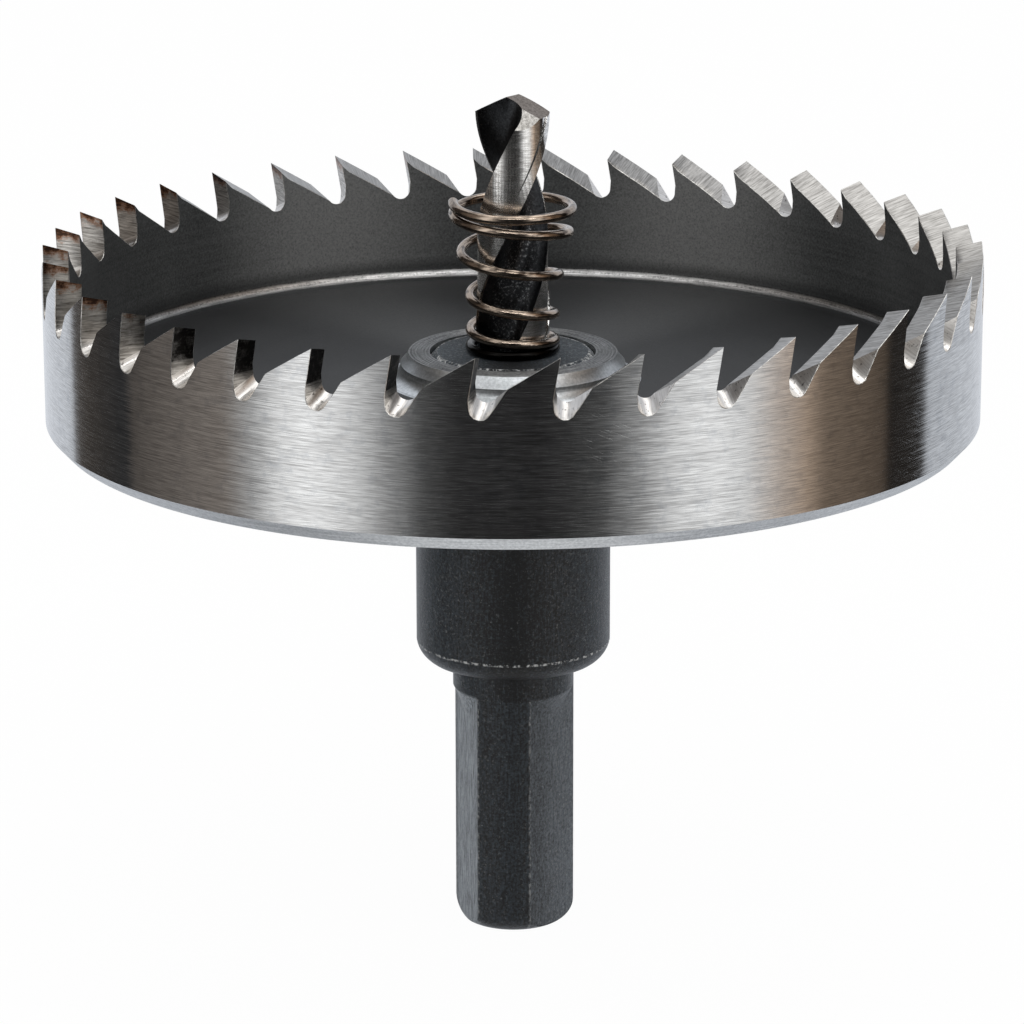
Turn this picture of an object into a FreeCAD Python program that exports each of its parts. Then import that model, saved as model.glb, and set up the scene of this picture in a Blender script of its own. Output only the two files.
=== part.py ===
import FreeCAD, Part
import math
import os

import Sketcher

# A 76 mm hole saw of the solid-cup kind, standing on the end of its shank.
# Origin at the middle of the shank end, +Z along the axis towards the teeth, millimetres.
# Seen from the tooth side it cuts counter-clockwise.

Vector = FreeCAD.Vector

doc = FreeCAD.newDocument("HoleSaw")

# Driving dimensions
SIZES = [
    ("shankDiameter", 10.0, "round stock of the shank"),
    ("shankLength", 22.9, "shank end to the underside of the hub"),
    ("flatDepth", 0.86, "depth of each flat below the round shank"),
    ("flatCount", 3, "flats round the shank"),
    ("flatPhase", 79.5, "direction of the first flat, degrees from +X"),
    ("neckLength", 2.45, "full round between the flats and the hub"),
    ("flatRunOut", 2.25, "height over which a flat runs out to the round"),
    ("runOutRadius", 8.0, "hollow that the cutter leaves in each run-out"),
    ("shankEndRise", 1.5, "height of the rounded shank end"),
    ("shankEndInset", 1.1, "how far the rounding comes in at the shank end"),
    ("hubDiameter", 16.0, "hub under the cup"),
    ("hubLength", 20.0, "underside of the hub to the underside of the cup"),
    ("hubCornerWide", 1.0, "rounded corner at the foot of the hub, radial"),
    ("hubCornerTall", 1.5, "that corner along the axis"),
    ("hubCornerRadius", 2.2, "radius of that corner"),
    ("spigotDiameter", 13.5, "spigot that fills the bore of the cup"),
    ("spigotChamfer", 0.5, "chamfer round the top of the spigot"),
    ("fitGap", 0.02, "radial gap between a bore and what fits in it"),
    ("seatFloor", 2.6, "steel left in the hub under the pilot drill"),
    ("boreConeAngle", 118.0, "angle of the drilled bottom of the pilot bore"),
    ("screwDiameter", 5.0, "set screw that holds the pilot drill"),
    ("screwLength", 4.0, "length of the set screw"),
    ("screwHeight", 10.1, "axis of the set screw above the underside of the hub"),
    ("screwChamfer", 0.5, "chamfer at both ends of the set screw"),
    ("screwKey", 2.5, "across flats of the hexagon socket"),
    ("screwKeyDepth", 2.0, "depth of the hexagon socket"),
    ("cupDiameter", 76.0, "cutting diameter over the teeth"),
    ("cupHeight", 14.9, "underside of the cup to the tooth tips"),
    ("wallThickness", 2.1, "wall of the cup"),
    ("floorThickness", 3.7, "floor of the cup"),
    ("floorFillet", 1.0, "inside corner between floor and wall"),
    ("footChamferWide", 1.0, "chamfer round the foot of the cup, radial"),
    ("footChamferTall", 1.1, "chamfer round the foot of the cup, along the axis"),
    ("bossDiameter", 17.0, "top of the boss round the bore"),
    ("bossHeight", 2.2, "boss above the floor"),
    ("bossBevel", 0.4, "bevel round the top of the boss"),
    ("bossFlare", 0.45, "how far the side of the boss leans out below the bevel"),
    ("bossFillet", 1.3, "fillet between boss and floor"),
    ("toothCount", 38, "teeth round the rim"),
    ("toothPhase", 0.556, "direction of the first tooth, degrees from +X"),
    ("rakeAngle", 9.5, "hook of the rake face, degrees from the axis"),
    ("rakeDepth", 3.2, "depth of the rake face below the tip, along the axis"),
    ("flankAngle", 32.4, "slope of the ground flank behind each tip"),
    ("flankBevel", 14.0, "inward fall of the flank"),
    ("toothSkew", 4.0, "lead of the inner end of each cutting edge"),
    ("gulletDepth", 4.72, "tip to the bottom of the gullet, outside"),
    ("gulletRadius", 0.82, "round bottom of the gullet"),
    ("gulletAdvance", 0.33, "centre of the gullet ahead of the tip"),
    ("gulletWallAngle", 56.0, "slope of the gullet wall opposite the rake face"),
    ("gulletRise", 21.8, "inward rise of the gullet floor"),
    ("pilotDiameter", 6.0, "pilot drill"),
    ("pilotReach", 12.1, "tooth tips to the point of the pilot drill"),
    ("pilotTurn", 183.0, "direction of the first lip, degrees from +X"),
    ("pointAngle", 130.0, "included angle of the drill point"),
    ("pointRelief", 15.0, "fall of each point flank behind its lip"),
    ("webThickness", 1.3, "steel between the two flutes"),
    ("pilotChamfer", 0.4, "chamfer at the foot of the pilot drill"),
    ("fluteLength", 32.0, "length of the flutes from the point"),
    ("fluteLead", 36.0, "height of one full turn of a flute"),
    ("fluteFloorInset", 0.3, "end of the straight lip beside the axis"),
    ("heelAngle", 74.0, "land between its lip corner and its heel, degrees"),
    ("marginAngle", 16.0, "full-diameter margin behind each lip, degrees"),
    ("landRelief", 0.13, "land below the margin"),
    ("notchStart", 0.95, "height over the point where the split face meets the axis"),
    ("notchAngle", 47.0, "slope of the split face down to the heel"),
    ("notchTilt", 20.0, "fall of the split face towards the lip corner"),
    ("wireDiameter", 0.8, "spring wire"),
    ("springGrip", 0.06, "radial gap between the seated coils and the pilot drill"),
    ("springTopDiameter", 10.4, "outside of the widest coil at the top"),
    ("seatPitch", 1.04, "spring pitch in the middle of the turn above the seat"),
    ("lowerPitch", 2.59, "pitch one turn higher"),
    ("middlePitch", 3.52, "pitch two turns higher"),
    ("upperPitch", 3.6, "pitch three turns higher"),
    ("closingPitch", 2.6, "pitch where the spring starts to close"),
    ("closingStart", 4.3, "turns above the seat where it starts to close"),
    ("closedStart", 4.55, "turns above the seat where the flat top coil starts"),
    ("closedEnd", 5.0, "turns above the seat where the flat top coil ends"),
    ("seatedTurn", 0.25, "part of a turn that lies on the arbor"),
    ("endTurn", 0.26, "part of a turn that rises over the coil below it"),
    ("endPitch", 4.0, "pitch at the free end"),
    ("flareStart", 2.05, "turns above the seat where the spring begins to widen"),
    ("flareTurns", 2.3, "turns over which it widens"),
]

sheet = doc.addObject("Spreadsheet::Sheet", "Sizes")
for row, (alias, number, meaning) in enumerate(SIZES, 1):
    sheet.set(f"A{row}", alias)
    sheet.set(f"B{row}", str(number))
    sheet.set(f"C{row}", meaning)
    sheet.setAlias(f"B{row}", alias)
doc.recompute()


def size(alias):
    """The number that the sheet holds under an alias."""
    return float(getattr(sheet, alias))


# Heights above the shank end, each built up from the sizes below it
HUB_FOOT = "Sizes.shankLength"
CUP_FOOT = f"({HUB_FOOT} + Sizes.hubLength)"
FLOOR_TOP = f"({CUP_FOOT} + Sizes.floorThickness)"
BOSS_TOP = f"({FLOOR_TOP} + Sizes.bossHeight)"
TOOTH_TIP = f"({CUP_FOOT} + Sizes.cupHeight)"
PILOT_FOOT = f"({HUB_FOOT} + Sizes.seatFloor)"
PILOT_TIP = f"({TOOTH_TIP} + Sizes.pilotReach)"
SCREW_AXIS = f"({HUB_FOOT} + Sizes.screwHeight)"
NECK_FOOT = f"({HUB_FOOT} - Sizes.neckLength)"
FLAT_TOP = f"({NECK_FOOT} - Sizes.flatRunOut)"

# Radii
SHANK = "(Sizes.shankDiameter / 2)"
FLAT = f"({SHANK} - Sizes.flatDepth)"
HUB = "(Sizes.hubDiameter / 2)"
SPIGOT = "(Sizes.spigotDiameter / 2)"
CUP_BORE = f"({SPIGOT} + Sizes.fitGap)"
PILOT = "(Sizes.pilotDiameter / 2)"
PILOT_BORE = f"({PILOT} + Sizes.fitGap)"
CUP = "(Sizes.cupDiameter / 2)"
CUP_INSIDE = f"({CUP} - Sizes.wallThickness)"
BOSS = "(Sizes.bossDiameter / 2)"

# Each lip lies ahead of the axis by half the web, so its corner is ahead by this angle
LIP_TURN = "asin(Sizes.webThickness / Sizes.pilotDiameter)"

# How far a cutting profile reaches past the steel that it cuts
OVERCUT = "1.0"
# Height of the rim above the tips before the teeth are ground
RIM_STOCK = "0.2"
# Gap under the spring so that it rests on the arbor without sharing its face
SEAT_GAP = 0.01
STEPS_PER_TURN = 12


def degrees(expression):
    """An expression read as an angle."""
    return f"(({expression}) * 1 deg)"


def newBody(label):
    """A body for one piece of the saw, named as the piece."""
    body = doc.addObject("PartDesign::Body", label)
    body.Label = label
    return body


def datum(body, role):
    """One of the body's own origin planes or axes."""
    return next(item for item in body.Origin.OriginFeatures if item.Role == role)


def newSketch(body, name, plane, distance=None, turn=None):
    """A sketch on an origin plane, at a distance along its normal and turned about it."""
    sketch = body.newObject("Sketcher::SketchObject", name)
    sketch.AttachmentSupport = [(datum(body, plane), "")]
    sketch.MapMode = "FlatFace"
    if distance:
        sketch.setExpression("AttachmentOffset.Base.z", distance)
    if turn:
        sketch.setExpression("AttachmentOffset.Rotation.Angle", degrees(turn))
    doc.recompute()
    return sketch


def evaluate(sketch, expression):
    """The present number of an expression."""
    result = sketch.evalExpression(expression)
    return float(getattr(result, "Value", result))


def bind(sketch, constraint, expression):
    """Adds a constraint and ties its value to an expression."""
    index = sketch.addConstraint(constraint)
    sketch.setExpression(f"Constraints[{index}]", expression)


def pinPoint(sketch, geometry, end, horizontal, vertical):
    """Holds one point of the sketch at two expressions, measured from the origin."""
    for kind, expression in (("DistanceX", horizontal), ("DistanceY", vertical)):
        distance = evaluate(sketch, expression)
        bind(sketch, Sketcher.Constraint(kind, -1, 1, geometry, end, distance), expression)


def arcBetween(start, finish, radius):
    """A short arc from start to finish; a positive radius keeps its centre on the left."""
    chord = finish - start
    middle = (start + finish) * 0.5
    left = Vector(-chord.y, chord.x, 0).normalize()
    height = math.sqrt(max(radius * radius - (chord.Length / 2) ** 2, 0))
    centre = middle + left * math.copysign(height, radius)
    crown = centre + (middle - centre).normalize() * abs(radius)
    return Part.Arc(start, crown, finish)


def drawCircle(sketch, horizontal, vertical, radius):
    """A circle held at two expressions."""
    centre = Vector(evaluate(sketch, horizontal), evaluate(sketch, vertical), 0)
    circle = Part.Circle(centre, Vector(0, 0, 1), evaluate(sketch, radius))
    sketch.addGeometry(circle, False)
    pinPoint(sketch, 0, 3, horizontal, vertical)
    bind(sketch, Sketcher.Constraint("Radius", 0, circle.Radius), radius)
    doc.recompute()


def drawOutline(sketch, corners):
    """A closed outline; a corner is two expressions and, for an arc to the next one, a radius."""
    points = [Vector(evaluate(sketch, corner[0]), evaluate(sketch, corner[1]), 0) for corner in corners]
    count = len(corners)
    turnsLeft = {}
    for index, corner in enumerate(corners):
        start = points[index]
        finish = points[(index + 1) % count]
        if len(corner) == 2:
            sketch.addGeometry(Part.LineSegment(start, finish), False)
            continue
        radius = evaluate(sketch, corner[2])
        sketch.addGeometry(arcBetween(start, finish, radius), False)
        turnsLeft[index] = radius > 0
    # An arc is stored counter-clockwise, so one that turns right starts at its far corner
    first = {index: 1 if turnsLeft.get(index, True) else 2 for index in range(count)}
    for index, corner in enumerate(corners):
        following = (index + 1) % count
        sketch.addConstraint(
            Sketcher.Constraint("Coincident", index, 3 - first[index], following, first[following])
        )
        pinPoint(sketch, index, first[index], corner[0], corner[1])
        if len(corner) == 3:
            radius = corner[2] if turnsLeft[index] else f"-({corner[2]})"
            bind(sketch, Sketcher.Constraint("Radius", index, abs(evaluate(sketch, corner[2]))), radius)
    doc.recompute()


def revolve(body, name, corners):
    """Turns an outline of radius and height round the axis of the saw."""
    sketch = newSketch(body, f"{name}Profile", "XZ_Plane")
    drawOutline(sketch, corners)
    feature = body.newObject("PartDesign::Revolution", name)
    feature.Profile = sketch
    feature.ReferenceAxis = (sketch, ["V_Axis"])
    feature.Angle = 360
    doc.recompute()


def pocket(body, name, sketch, inward, outward, direction=None):
    """Cuts a profile both ways from its sketch, along a direction of three expressions."""
    feature = body.newObject("PartDesign::Pocket", name)
    feature.Profile = sketch
    feature.SideType = "Two sides"
    feature.setExpression("Length", inward)
    feature.setExpression("Length2", outward)
    if direction:
        feature.UseCustomVector = True
        feature.AlongSketchNormal = True
        for axis, expression in zip("xyz", direction):
            feature.setExpression(f"Direction.{axis}", expression)
    doc.recompute()
    return feature


def repeatRound(body, name, features, count):
    """Repeats features evenly round the axis of the saw."""
    pattern = body.newObject("PartDesign::PolarPattern", name)
    pattern.Originals = features
    pattern.Axis = (datum(body, "Z_Axis"), [""])
    pattern.Angle = 360
    pattern.setExpression("Occurrences", count)
    body.Tip = pattern
    doc.recompute()
    return pattern


# Arbor: shank, hub and spigot turned from one bar, with three flats and the pilot bore
def makeArbor():
    body = newBody("arbor")
    inset = "Sizes.shankEndInset"
    rise = "Sizes.shankEndRise"
    # Radius of the arc that runs into the side of the shank and comes in by the inset
    endArc = f"(({inset} ^ 2 + {rise} ^ 2) / (2 * {inset}))"
    boreCone = f"({PILOT_BORE} / tan({degrees('Sizes.boreConeAngle / 2')}))"
    revolve(body, "Turned", [
        ("0", "0"),
        (f"{SHANK} - {inset}", "0", endArc),
        (SHANK, rise),
        (SHANK, HUB_FOOT),
        (f"{HUB} - Sizes.hubCornerWide", HUB_FOOT, "Sizes.hubCornerRadius"),
        (HUB, f"{HUB_FOOT} + Sizes.hubCornerTall"),
        (HUB, CUP_FOOT),
        (SPIGOT, CUP_FOOT),
        (SPIGOT, f"{BOSS_TOP} - Sizes.spigotChamfer"),
        (f"{SPIGOT} - Sizes.spigotChamfer", BOSS_TOP),
        (PILOT_BORE, BOSS_TOP),
        (PILOT_BORE, PILOT_FOOT),
        ("0", f"{PILOT_FOOT} - {boreCone}"),
    ])

    hole = newSketch(body, "ScrewHoleProfile", "XZ_Plane")
    drawCircle(hole, "0", SCREW_AXIS, "Sizes.screwDiameter / 2 + Sizes.fitGap")
    pocket(body, "ScrewHole", hole, f"{HUB} + {OVERCUT}", "0")

    flats = newSketch(body, "FlatProfile", "XY_Plane", turn="Sizes.flatPhase")
    edge = f"({SHANK} + {OVERCUT})"
    drawOutline(flats, [(FLAT, f"-{edge}"), (edge, f"-{edge}"), (edge, edge), (FLAT, edge)])
    flat = pocket(body, "Flat", flats, OVERCUT, NECK_FOOT)
    repeatRound(body, "Flats", [flat], "Sizes.flatCount")

    # The cutter leaves a hollow slope at the head of each flat, so the flat ends in a curve
    revolve(body, "FlatRunOut", [
        ("0", FLAT_TOP),
        (FLAT, FLAT_TOP, "-Sizes.runOutRadius"),
        (SHANK, NECK_FOOT),
        ("0", NECK_FOOT),
    ])
    return body


# Cup: floor, boss and wall turned in one piece, with the teeth ground into the rim
def makeCup():
    body = newBody("saw_cup")
    body.setExpression("Placement.Rotation.Angle", degrees("Sizes.toothPhase"))
    bossSide = f"({BOSS} + Sizes.bossBevel / 2)"
    bossFoot = f"({bossSide} + Sizes.bossFlare)"
    revolve(body, "Turned", [
        (CUP_BORE, CUP_FOOT),
        (f"{CUP} - Sizes.footChamferWide", CUP_FOOT),
        (CUP, f"{CUP_FOOT} + Sizes.footChamferTall"),
        (CUP, f"{TOOTH_TIP} + {RIM_STOCK}"),
        (CUP_INSIDE, f"{TOOTH_TIP} + {RIM_STOCK}"),
        (CUP_INSIDE, f"{FLOOR_TOP} + Sizes.floorFillet", "-Sizes.floorFillet"),
        (f"{CUP_INSIDE} - Sizes.floorFillet", FLOOR_TOP),
        (f"{bossFoot} + Sizes.bossFillet", FLOOR_TOP, "-Sizes.bossFillet"),
        (bossFoot, f"{FLOOR_TOP} + Sizes.bossFillet"),
        (bossSide, f"{BOSS_TOP} - Sizes.bossBevel"),
        (BOSS, BOSS_TOP),
        (CUP_BORE, BOSS_TOP),
    ])
    gullet = cutGullet(body)
    flank = cutFlank(body)
    repeatRound(body, "Teeth", [gullet, flank], "Sizes.toothCount")
    return body


def tangent(alias):
    """The tangent of an angle in the sheet."""
    return f"tan({degrees('Sizes.' + alias)})"


# Tooth profiles are drawn on the plane that touches the rim at the first tip, seen from
# outside: across is the cutting direction, up is the axis, and (0, TOOTH_TIP) is the tip.
PITCH_ANGLE = degrees("360 / Sizes.toothCount")
PITCH_SAG = f"({CUP} * (1 - cos({PITCH_ANGLE})))"
STOCK_TOP = f"({TOOTH_TIP} + {OVERCUT})"
CUT_INWARD = f"(Sizes.wallThickness + 4 * {PITCH_SAG} + {OVERCUT})"
# Sideways lead of each cut for every millimetre inwards; the gullet stays in the rake plane
FLANK_LEAD = tangent("toothSkew")
INWARD_RISE = f"({tangent('gulletRise')} + {tangent('flankBevel')})"
GULLET_LEAD = f"({FLANK_LEAD} + {tangent('rakeAngle')} * {INWARD_RISE})"


def cutGullet(body):
    """Rake face and round gullet of one tooth, ground along a line in the rake face."""
    sketch = newSketch(body, "GulletProfile", "YZ_Plane", distance=CUP)
    rake = tangent("rakeAngle")
    top = (f"{rake} * {OVERCUT}", STOCK_TOP)
    rakeFoot = (f"-{rake} * Sizes.rakeDepth", f"{TOOTH_TIP} - Sizes.rakeDepth")
    centre = ("Sizes.gulletAdvance", f"({TOOTH_TIP} - Sizes.gulletDepth + Sizes.gulletRadius)")
    wallAngle = math.radians(size("gulletWallAngle"))
    radius = size("gulletRadius")

    def point(pair):
        return Vector(evaluate(sketch, pair[0]), evaluate(sketch, pair[1]), 0)

    middle = point(centre)
    wallFoot = middle + Vector(math.sin(wallAngle), -math.cos(wallAngle), 0) * radius
    arcStart = middle - Vector(radius, 0, 0)
    rim = evaluate(sketch, STOCK_TOP)
    wallTop = Vector(wallFoot.x + (rim - wallFoot.y) / math.tan(wallAngle), rim, 0)
    circle = Part.Circle(middle, Vector(0, 0, 1), radius)
    sketch.addGeometry(Part.LineSegment(point(top), point(rakeFoot)), False)
    sketch.addGeometry(Part.LineSegment(point(rakeFoot), arcStart), False)
    sketch.addGeometry(Part.ArcOfCircle(circle, math.pi, 1.5 * math.pi + wallAngle), False)
    sketch.addGeometry(Part.LineSegment(wallFoot, wallTop), False)
    sketch.addGeometry(Part.LineSegment(wallTop, point(top)), False)
    rakeLine, backWall, floor, frontWall, topLine = range(5)
    sketch.addConstraint([
        Sketcher.Constraint("Coincident", rakeLine, 2, backWall, 1),
        Sketcher.Constraint("Tangent", backWall, 2, floor, 1),
        Sketcher.Constraint("Tangent", floor, 2, frontWall, 1),
        Sketcher.Constraint("Coincident", frontWall, 2, topLine, 1),
        Sketcher.Constraint("Coincident", topLine, 2, rakeLine, 1),
        Sketcher.Constraint("Horizontal", topLine),
    ])
    pinPoint(sketch, rakeLine, 1, *top)
    pinPoint(sketch, backWall, 1, *rakeFoot)
    pinPoint(sketch, floor, 3, *centre)
    bind(sketch, Sketcher.Constraint("Radius", floor, radius), "Sizes.gulletRadius")
    bind(sketch, Sketcher.Constraint("Angle", frontWall, wallAngle), degrees("Sizes.gulletWallAngle"))
    doc.recompute()

    direction = ("-1", GULLET_LEAD, tangent("gulletRise"))
    return pocket(body, "Gullet", sketch, CUT_INWARD, OVERCUT, direction)


def cutFlank(body):
    """Straight flank that rises from the gullet to the next tip and falls inwards."""
    sketch = newSketch(body, "FlankProfile", "YZ_Plane", distance=CUP)
    slope = tangent("flankAngle")
    # The next tip, carried out along the cut to the plane of the profile
    tipAcross = f"({CUP} * sin({PITCH_ANGLE}) - {FLANK_LEAD} * {PITCH_SAG})"
    tipUp = f"({TOOTH_TIP} + {tangent('flankBevel')} * {PITCH_SAG})"
    # At the inside of the wall the flank starts where it touches the round of the gullet
    touch = f"(Sizes.gulletAdvance + Sizes.gulletRadius * sin({degrees('Sizes.flankAngle')}))"
    start = f"({touch} + ({GULLET_LEAD} - {FLANK_LEAD}) * Sizes.wallThickness)"
    drawOutline(sketch, [
        (start, f"{tipUp} - {slope} * ({tipAcross} - {start})"),
        (f"{tipAcross} + ({STOCK_TOP} - {tipUp}) / {slope}", STOCK_TOP),
        (start, STOCK_TOP),
    ])
    direction = ("-1", FLANK_LEAD, f"-{tangent('flankBevel')}")
    return pocket(body, "Flank", sketch, CUT_INWARD, OVERCUT, direction)


# Pilot drill: two right-hand flutes, a split point and a plain shank inside the arbor
def makePilotDrill():
    body = newBody("pilot_drill")
    body.setExpression("Placement.Rotation.Angle", f"{degrees('Sizes.pilotTurn - 180')} - {LIP_TURN}")
    chamfer = "Sizes.pilotChamfer"
    revolve(body, "Ground", [
        ("0", PILOT_FOOT),
        (f"{PILOT} - {chamfer}", PILOT_FOOT),
        (PILOT, f"{PILOT_FOOT} + {chamfer}"),
        (PILOT, PILOT_TIP),
        ("0", PILOT_TIP),
    ])
    flute = cutFlute(body)
    repeatRound(body, "Flutes", [flute], "2")

    reach = f"({PILOT} + {OVERCUT})"
    slope = f"(1 / tan({degrees('Sizes.pointAngle / 2')}))"
    lipFall = f"{slope} * {reach}"
    flank = newSketch(body, "PointFlankProfile", "XZ_Plane")
    drawOutline(flank, [
        (f"-{reach}", f"{PILOT_TIP} + {lipFall}"),
        (reach, f"{PILOT_TIP} - {lipFall}"),
        (reach, f"{PILOT_TIP} + 2 * {lipFall}"),
        (f"-{reach}", f"{PILOT_TIP} + 2 * {lipFall}"),
    ])
    relief = ("0", "-1", f"-{tangent('pointRelief')}")
    pointFlank = pocket(body, "PointFlank", flank, reach, reach, relief)

    notch = newSketch(body, "NotchProfile", "YZ_Plane")
    notchTop = f"({PILOT_TIP} + Sizes.notchStart)"
    drawOutline(notch, [
        (f"-{reach}", f"{notchTop} - {tangent('notchAngle')} * {reach}"),
        ("0", notchTop),
        (f"-{reach}", f"{notchTop} + {OVERCUT}"),
    ])
    tilt = ("1", "0", f"-{tangent('notchTilt')}")
    split = pocket(body, "Notch", notch, reach, reach, tilt)
    repeatRound(body, "Point", [pointFlank, split], "2")
    return body


def cutFlute(body):
    """One flute with the clearance behind the other lip, carried down a helix."""
    start = f"({PILOT_TIP} + {OVERCUT})"
    height = f"({OVERCUT} + Sizes.fluteLength)"
    lipDrop = f"({PILOT} / tan({degrees('Sizes.pointAngle / 2')}))"
    # The profile has its true direction half-way down the lips
    turn = f"360 * ({OVERCUT} + {lipDrop} / 2) / Sizes.fluteLead"
    sketch = newSketch(body, "FluteProfile", "XY_Plane", distance=start, turn=turn)
    outside = f"({PILOT} + {OVERCUT})"
    land = f"({PILOT} - Sizes.landRelief)"
    lipLevel = "(-Sizes.webThickness / 2)"
    floorEnd = "(-Sizes.fluteFloorInset)"
    heel = f"({LIP_TURN} - {degrees('Sizes.heelAngle')})"
    margin = f"({LIP_TURN} - {degrees('Sizes.marginAngle')})"
    heelAcross = f"({land} * cos({heel}))"
    heelUp = f"({land} * sin({heel}))"
    # The flute floor leaves the lip tangentially and ends at the heel
    across = f"({heelAcross} - {floorEnd})"
    drop = f"({lipLevel} - {heelUp})"
    floorRadius = f"(({across} ^ 2 + {drop} ^ 2) / (2 * {drop}))"
    drawOutline(sketch, [
        (f"-sqrt({outside} ^ 2 - {lipLevel} ^ 2)", lipLevel),
        (floorEnd, lipLevel, f"-{floorRadius}"),
        (heelAcross, heelUp, land),
        (f"{land} * cos({margin})", f"{land} * sin({margin})"),
        (f"{outside} * cos({margin})", f"{outside} * sin({margin})", f"-{outside}"),
    ])

    spine = newSketch(body, "FluteSpine", "XZ_Plane")
    spine.addGeometry(Part.LineSegment(Vector(0, 1, 0), Vector(0, 0, 0)), False)
    pinPoint(spine, 0, 1, "0", start)
    pinPoint(spine, 0, 2, "0", f"{start} - {height}")
    helix = doc.addObject("Part::Helix", "FluteHelix")
    helix.setExpression("Pitch", "Sizes.fluteLead")
    helix.setExpression("Height", height)
    helix.setExpression("Radius", PILOT)
    helix.Placement = FreeCAD.Placement(Vector(0, 0, 0), FreeCAD.Rotation(Vector(1, 0, 0), 180))
    helix.setExpression("Placement.Base.z", start)
    doc.recompute()

    flute = body.newObject("PartDesign::SubtractivePipe", "Flute")
    flute.Profile = sketch
    flute.Spine = (spine, ["Edge1"])
    flute.Mode = "Auxiliary"
    flute.AuxiliarySpine = (helix, ["Edge1"])
    flute.AuxiliaryCurvilinear = False
    doc.recompute()
    return flute


# Set screw: hexagon-socket grub screw behind the hub, bearing on the drill shank
def makeSetScrew():
    body = newBody("set_screw")
    body.Placement = FreeCAD.Placement(Vector(0, 0, 0), FreeCAD.Rotation(Vector(1, 0, 0), -90))
    body.setExpression("Placement.Base.y", PILOT)
    body.setExpression("Placement.Base.z", SCREW_AXIS)
    radius = "(Sizes.screwDiameter / 2)"
    revolve(body, "Turned", [
        ("0", "0"),
        (f"{radius} - Sizes.screwChamfer", "0"),
        (radius, "Sizes.screwChamfer"),
        (radius, "Sizes.screwLength - Sizes.screwChamfer"),
        (f"{radius} - Sizes.screwChamfer", "Sizes.screwLength"),
        ("0", "Sizes.screwLength"),
    ])
    socket = newSketch(body, "SocketProfile", "XY_Plane", distance="Sizes.screwLength")
    corner = f"(Sizes.screwKey / 2 / cos({degrees(30)}))"
    drawOutline(socket, [
        (f"{corner} * cos({degrees(60 * side)})", f"{corner} * sin({degrees(60 * side)})")
        for side in range(6)
    ])
    pocket(body, "Socket", socket, "Sizes.screwKeyDepth", "0")
    return body


# Ejector spring: left-hand, closed and cut square at both ends, seated on the arbor, wider at the top
def makeSpring():
    wire = size("wireDiameter")
    seatRadius = size("pilotDiameter") / 2 + size("springGrip") + wire / 2
    topRadius = (size("springTopDiameter") - wire) / 2
    foot = sum(size(name) for name in ("shankLength", "hubLength", "floorThickness", "bossHeight"))
    seated = size("seatedTurn")
    turns = seated + size("closedEnd") + size("endTurn")
    # Turns above the seated part, each with the pitch there
    pitches = [(0, 0)]
    for turn, name in enumerate(("seatPitch", "lowerPitch", "middlePitch", "upperPitch")):
        pitches.append((turn + 0.5, size(name)))
    pitches += [
        (size("closingStart"), size("closingPitch")),
        (size("closedStart"), 0),
        (size("closedEnd"), 0),
        (size("closedEnd") + size("endTurn"), size("endPitch")),
    ]

    def pitchAt(turn):
        """Pitch on a straight line between the two places around a turn."""
        place = turn - seated
        for (low, lowPitch), (high, highPitch) in zip(pitches, pitches[1:]):
            if low <= place <= high:
                return lowPitch + (highPitch - lowPitch) * (place - low) / (high - low)
        return 0

    def radiusAt(turn):
        share = min(max((turn - seated - size("flareStart")) / size("flareTurns"), 0), 1)
        return seatRadius + (topRadius - seatRadius) * share * share * (3 - 2 * share)

    step = 1 / STEPS_PER_TURN
    points = []
    height = foot + wire / 2 + SEAT_GAP
    for index in range(round(turns * STEPS_PER_TURN) + 1):
        turn = index * step
        # The front of the saw is a whole number of turns above the end of the seated part
        angle = math.radians(270 - 360 * (turn - seated))
        radius = radiusAt(turn)
        points.append(Vector(radius * math.cos(angle), radius * math.sin(angle), height))
        height += pitchAt(turn + step / 2) * step
    path = Part.BSplineCurve()
    path.interpolate(points)
    edge = path.toShape()
    start = edge.valueAt(edge.FirstParameter)
    section = Part.Wire([Part.makeCircle(wire / 2, start, edge.tangentAt(edge.FirstParameter))])
    solid = Part.Wire([edge]).makePipeShell([section], True, True)

    spring = doc.addObject("Part::Feature", "ejector_spring")
    spring.Label = "ejector_spring"
    spring.Shape = solid
    spring.Placement = FreeCAD.Placement()
    print(f"spring: {turns:.2f} turns, free length {height + wire / 2 - foot:.2f} mm")
    return spring


pieces = [makeCup(), makeArbor(), makePilotDrill(), makeSetScrew(), makeSpring()]
doc.recompute()

for item in doc.Objects:
    if "Invalid" in item.State or "Error" in item.State:
        raise RuntimeError(f"{item.Name} did not build: {item.State}")
for piece in pieces:
    if piece.Shape.isNull() or not piece.Shape.isValid() or len(piece.Shape.Solids) != 1:
        raise RuntimeError(f"{piece.Label} is not one valid solid")

os.makedirs("parts", exist_ok=True)
for piece in pieces:
    piece.Shape.exportStep(f"parts/{piece.Label}.step")
    box = piece.Shape.BoundBox
    print(f"{piece.Label}: {piece.Shape.Volume:.1f} mm3, z {box.ZMin:.2f} to {box.ZMax:.2f}")
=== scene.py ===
# Studio picture of a 76 mm hole saw: ground teeth, finishes, light and camera round the construction model
import math

import bpy
import numpy as np
from mathutils import Matrix, Vector


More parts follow.
